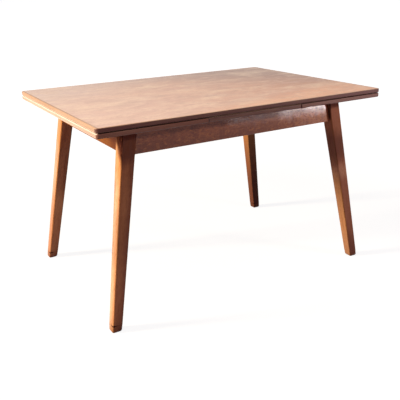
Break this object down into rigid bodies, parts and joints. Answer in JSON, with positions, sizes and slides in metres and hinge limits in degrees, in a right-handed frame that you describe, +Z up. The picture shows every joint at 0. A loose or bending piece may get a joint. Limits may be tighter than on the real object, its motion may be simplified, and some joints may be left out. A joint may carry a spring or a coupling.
{
  "type": "extending dining table",
  "caption": "Rectangular draw-leaf dining table on splayed tapered legs, with leaves that slide out from under a lifting top on long lopers.",
  "frame": {"origin": "on the floor, below the middle of the table top", "axes": "+X along the table to the right, the way the right-hand leaf slides out; +Y to the back; +Z up"},
  "size_m": [1.21, 0.85, 0.75],
  "materials": {
    "leg_wood": "stained beech, satin lacquer",
    "foot_wood": "stained beech, end-grain block, satin lacquer",
    "rail_wood": "stained beech, satin lacquer",
    "top_veneer": "veneered board, satin lacquer",
    "leaf_veneer": "veneered board, satin lacquer",
    "lipping_wood": "solid lipping, satin lacquer",
    "loper_wood": "plain beech, waxed",
    "inner_wood": "plain beech, unfinished",
    "peg_wood": "turned beech",
    "screw_steel": "plain steel",
    "washer_steel": "zinc-plated steel",
    "felt": "wool felt"
  },
  "bodies": {
    "frame": {"apron_back": "rail_wood", "apron_front": "rail_wood", "centre_board": "leaf_veneer", "centre_cleat_screws": "screw_steel", "centre_cleats": "inner_wood", "centre_felt_strips": "felt", "centre_lipping_back": "lipping_wood", "centre_lipping_front": "lipping_wood", "corner_block_back_left": "inner_wood", "corner_block_back_right": "inner_wood", "corner_block_front_left": "inner_wood", "corner_block_front_right": "inner_wood", "corner_block_screws": "screw_steel", "cross_rail": "inner_wood", "end_rail_left": "rail_wood", "end_rail_right": "rail_wood", "foot_back_left": "foot_wood", "foot_back_right": "foot_wood", "foot_front_left": "foot_wood", "foot_front_right": "foot_wood", "leg_back_left": "leg_wood", "leg_back_right": "leg_wood", "leg_front_left": "leg_wood", "leg_front_right": "leg_wood"},
    "top": {"guide_peg_left": "peg_wood", "guide_peg_right": "peg_wood", "guide_peg_screw_left": "screw_steel", "guide_peg_screw_right": "screw_steel", "stop_washer_left": "washer_steel", "stop_washer_right": "washer_steel", "top_felt_strips": "felt", "top_lipping_back": "lipping_wood", "top_lipping_front": "lipping_wood", "top_lipping_left": "lipping_wood", "top_lipping_right": "lipping_wood", "top_panel": "top_veneer"},
    "leaf_left": {"leaf_left_lipping_back": "lipping_wood", "leaf_left_lipping_front": "lipping_wood", "leaf_left_lipping_inner": "lipping_wood", "leaf_left_lipping_outer": "lipping_wood", "leaf_left_loper_back": "loper_wood", "leaf_left_loper_front": "loper_wood", "leaf_left_loper_screws": "screw_steel", "leaf_left_panel": "leaf_veneer", "leaf_left_stop_pegs": "peg_wood"},
    "leaf_right": {"leaf_right_lipping_back": "lipping_wood", "leaf_right_lipping_front": "lipping_wood", "leaf_right_lipping_inner": "lipping_wood", "leaf_right_lipping_outer": "lipping_wood", "leaf_right_loper_back": "loper_wood", "leaf_right_loper_front": "loper_wood", "leaf_right_loper_screws": "screw_steel", "leaf_right_panel": "leaf_veneer", "leaf_right_stop_pegs": "peg_wood"}
  },
  "joints": [
    {"name": "leaf_left_slide", "type": "slide", "parent": "frame", "child": "leaf_left", "axis": [-1, 0, 0], "range_m": [0, 0.4035]},
    {"name": "leaf_right_slide", "type": "slide", "parent": "frame", "child": "leaf_right", "axis": [1, 0, 0], "range_m": [0, 0.4035]},
    {"name": "top_lift", "type": "slide", "parent": "frame", "child": "top", "axis": [0, 0, 1], "range_m": [0, 0.02]}
  ]
}
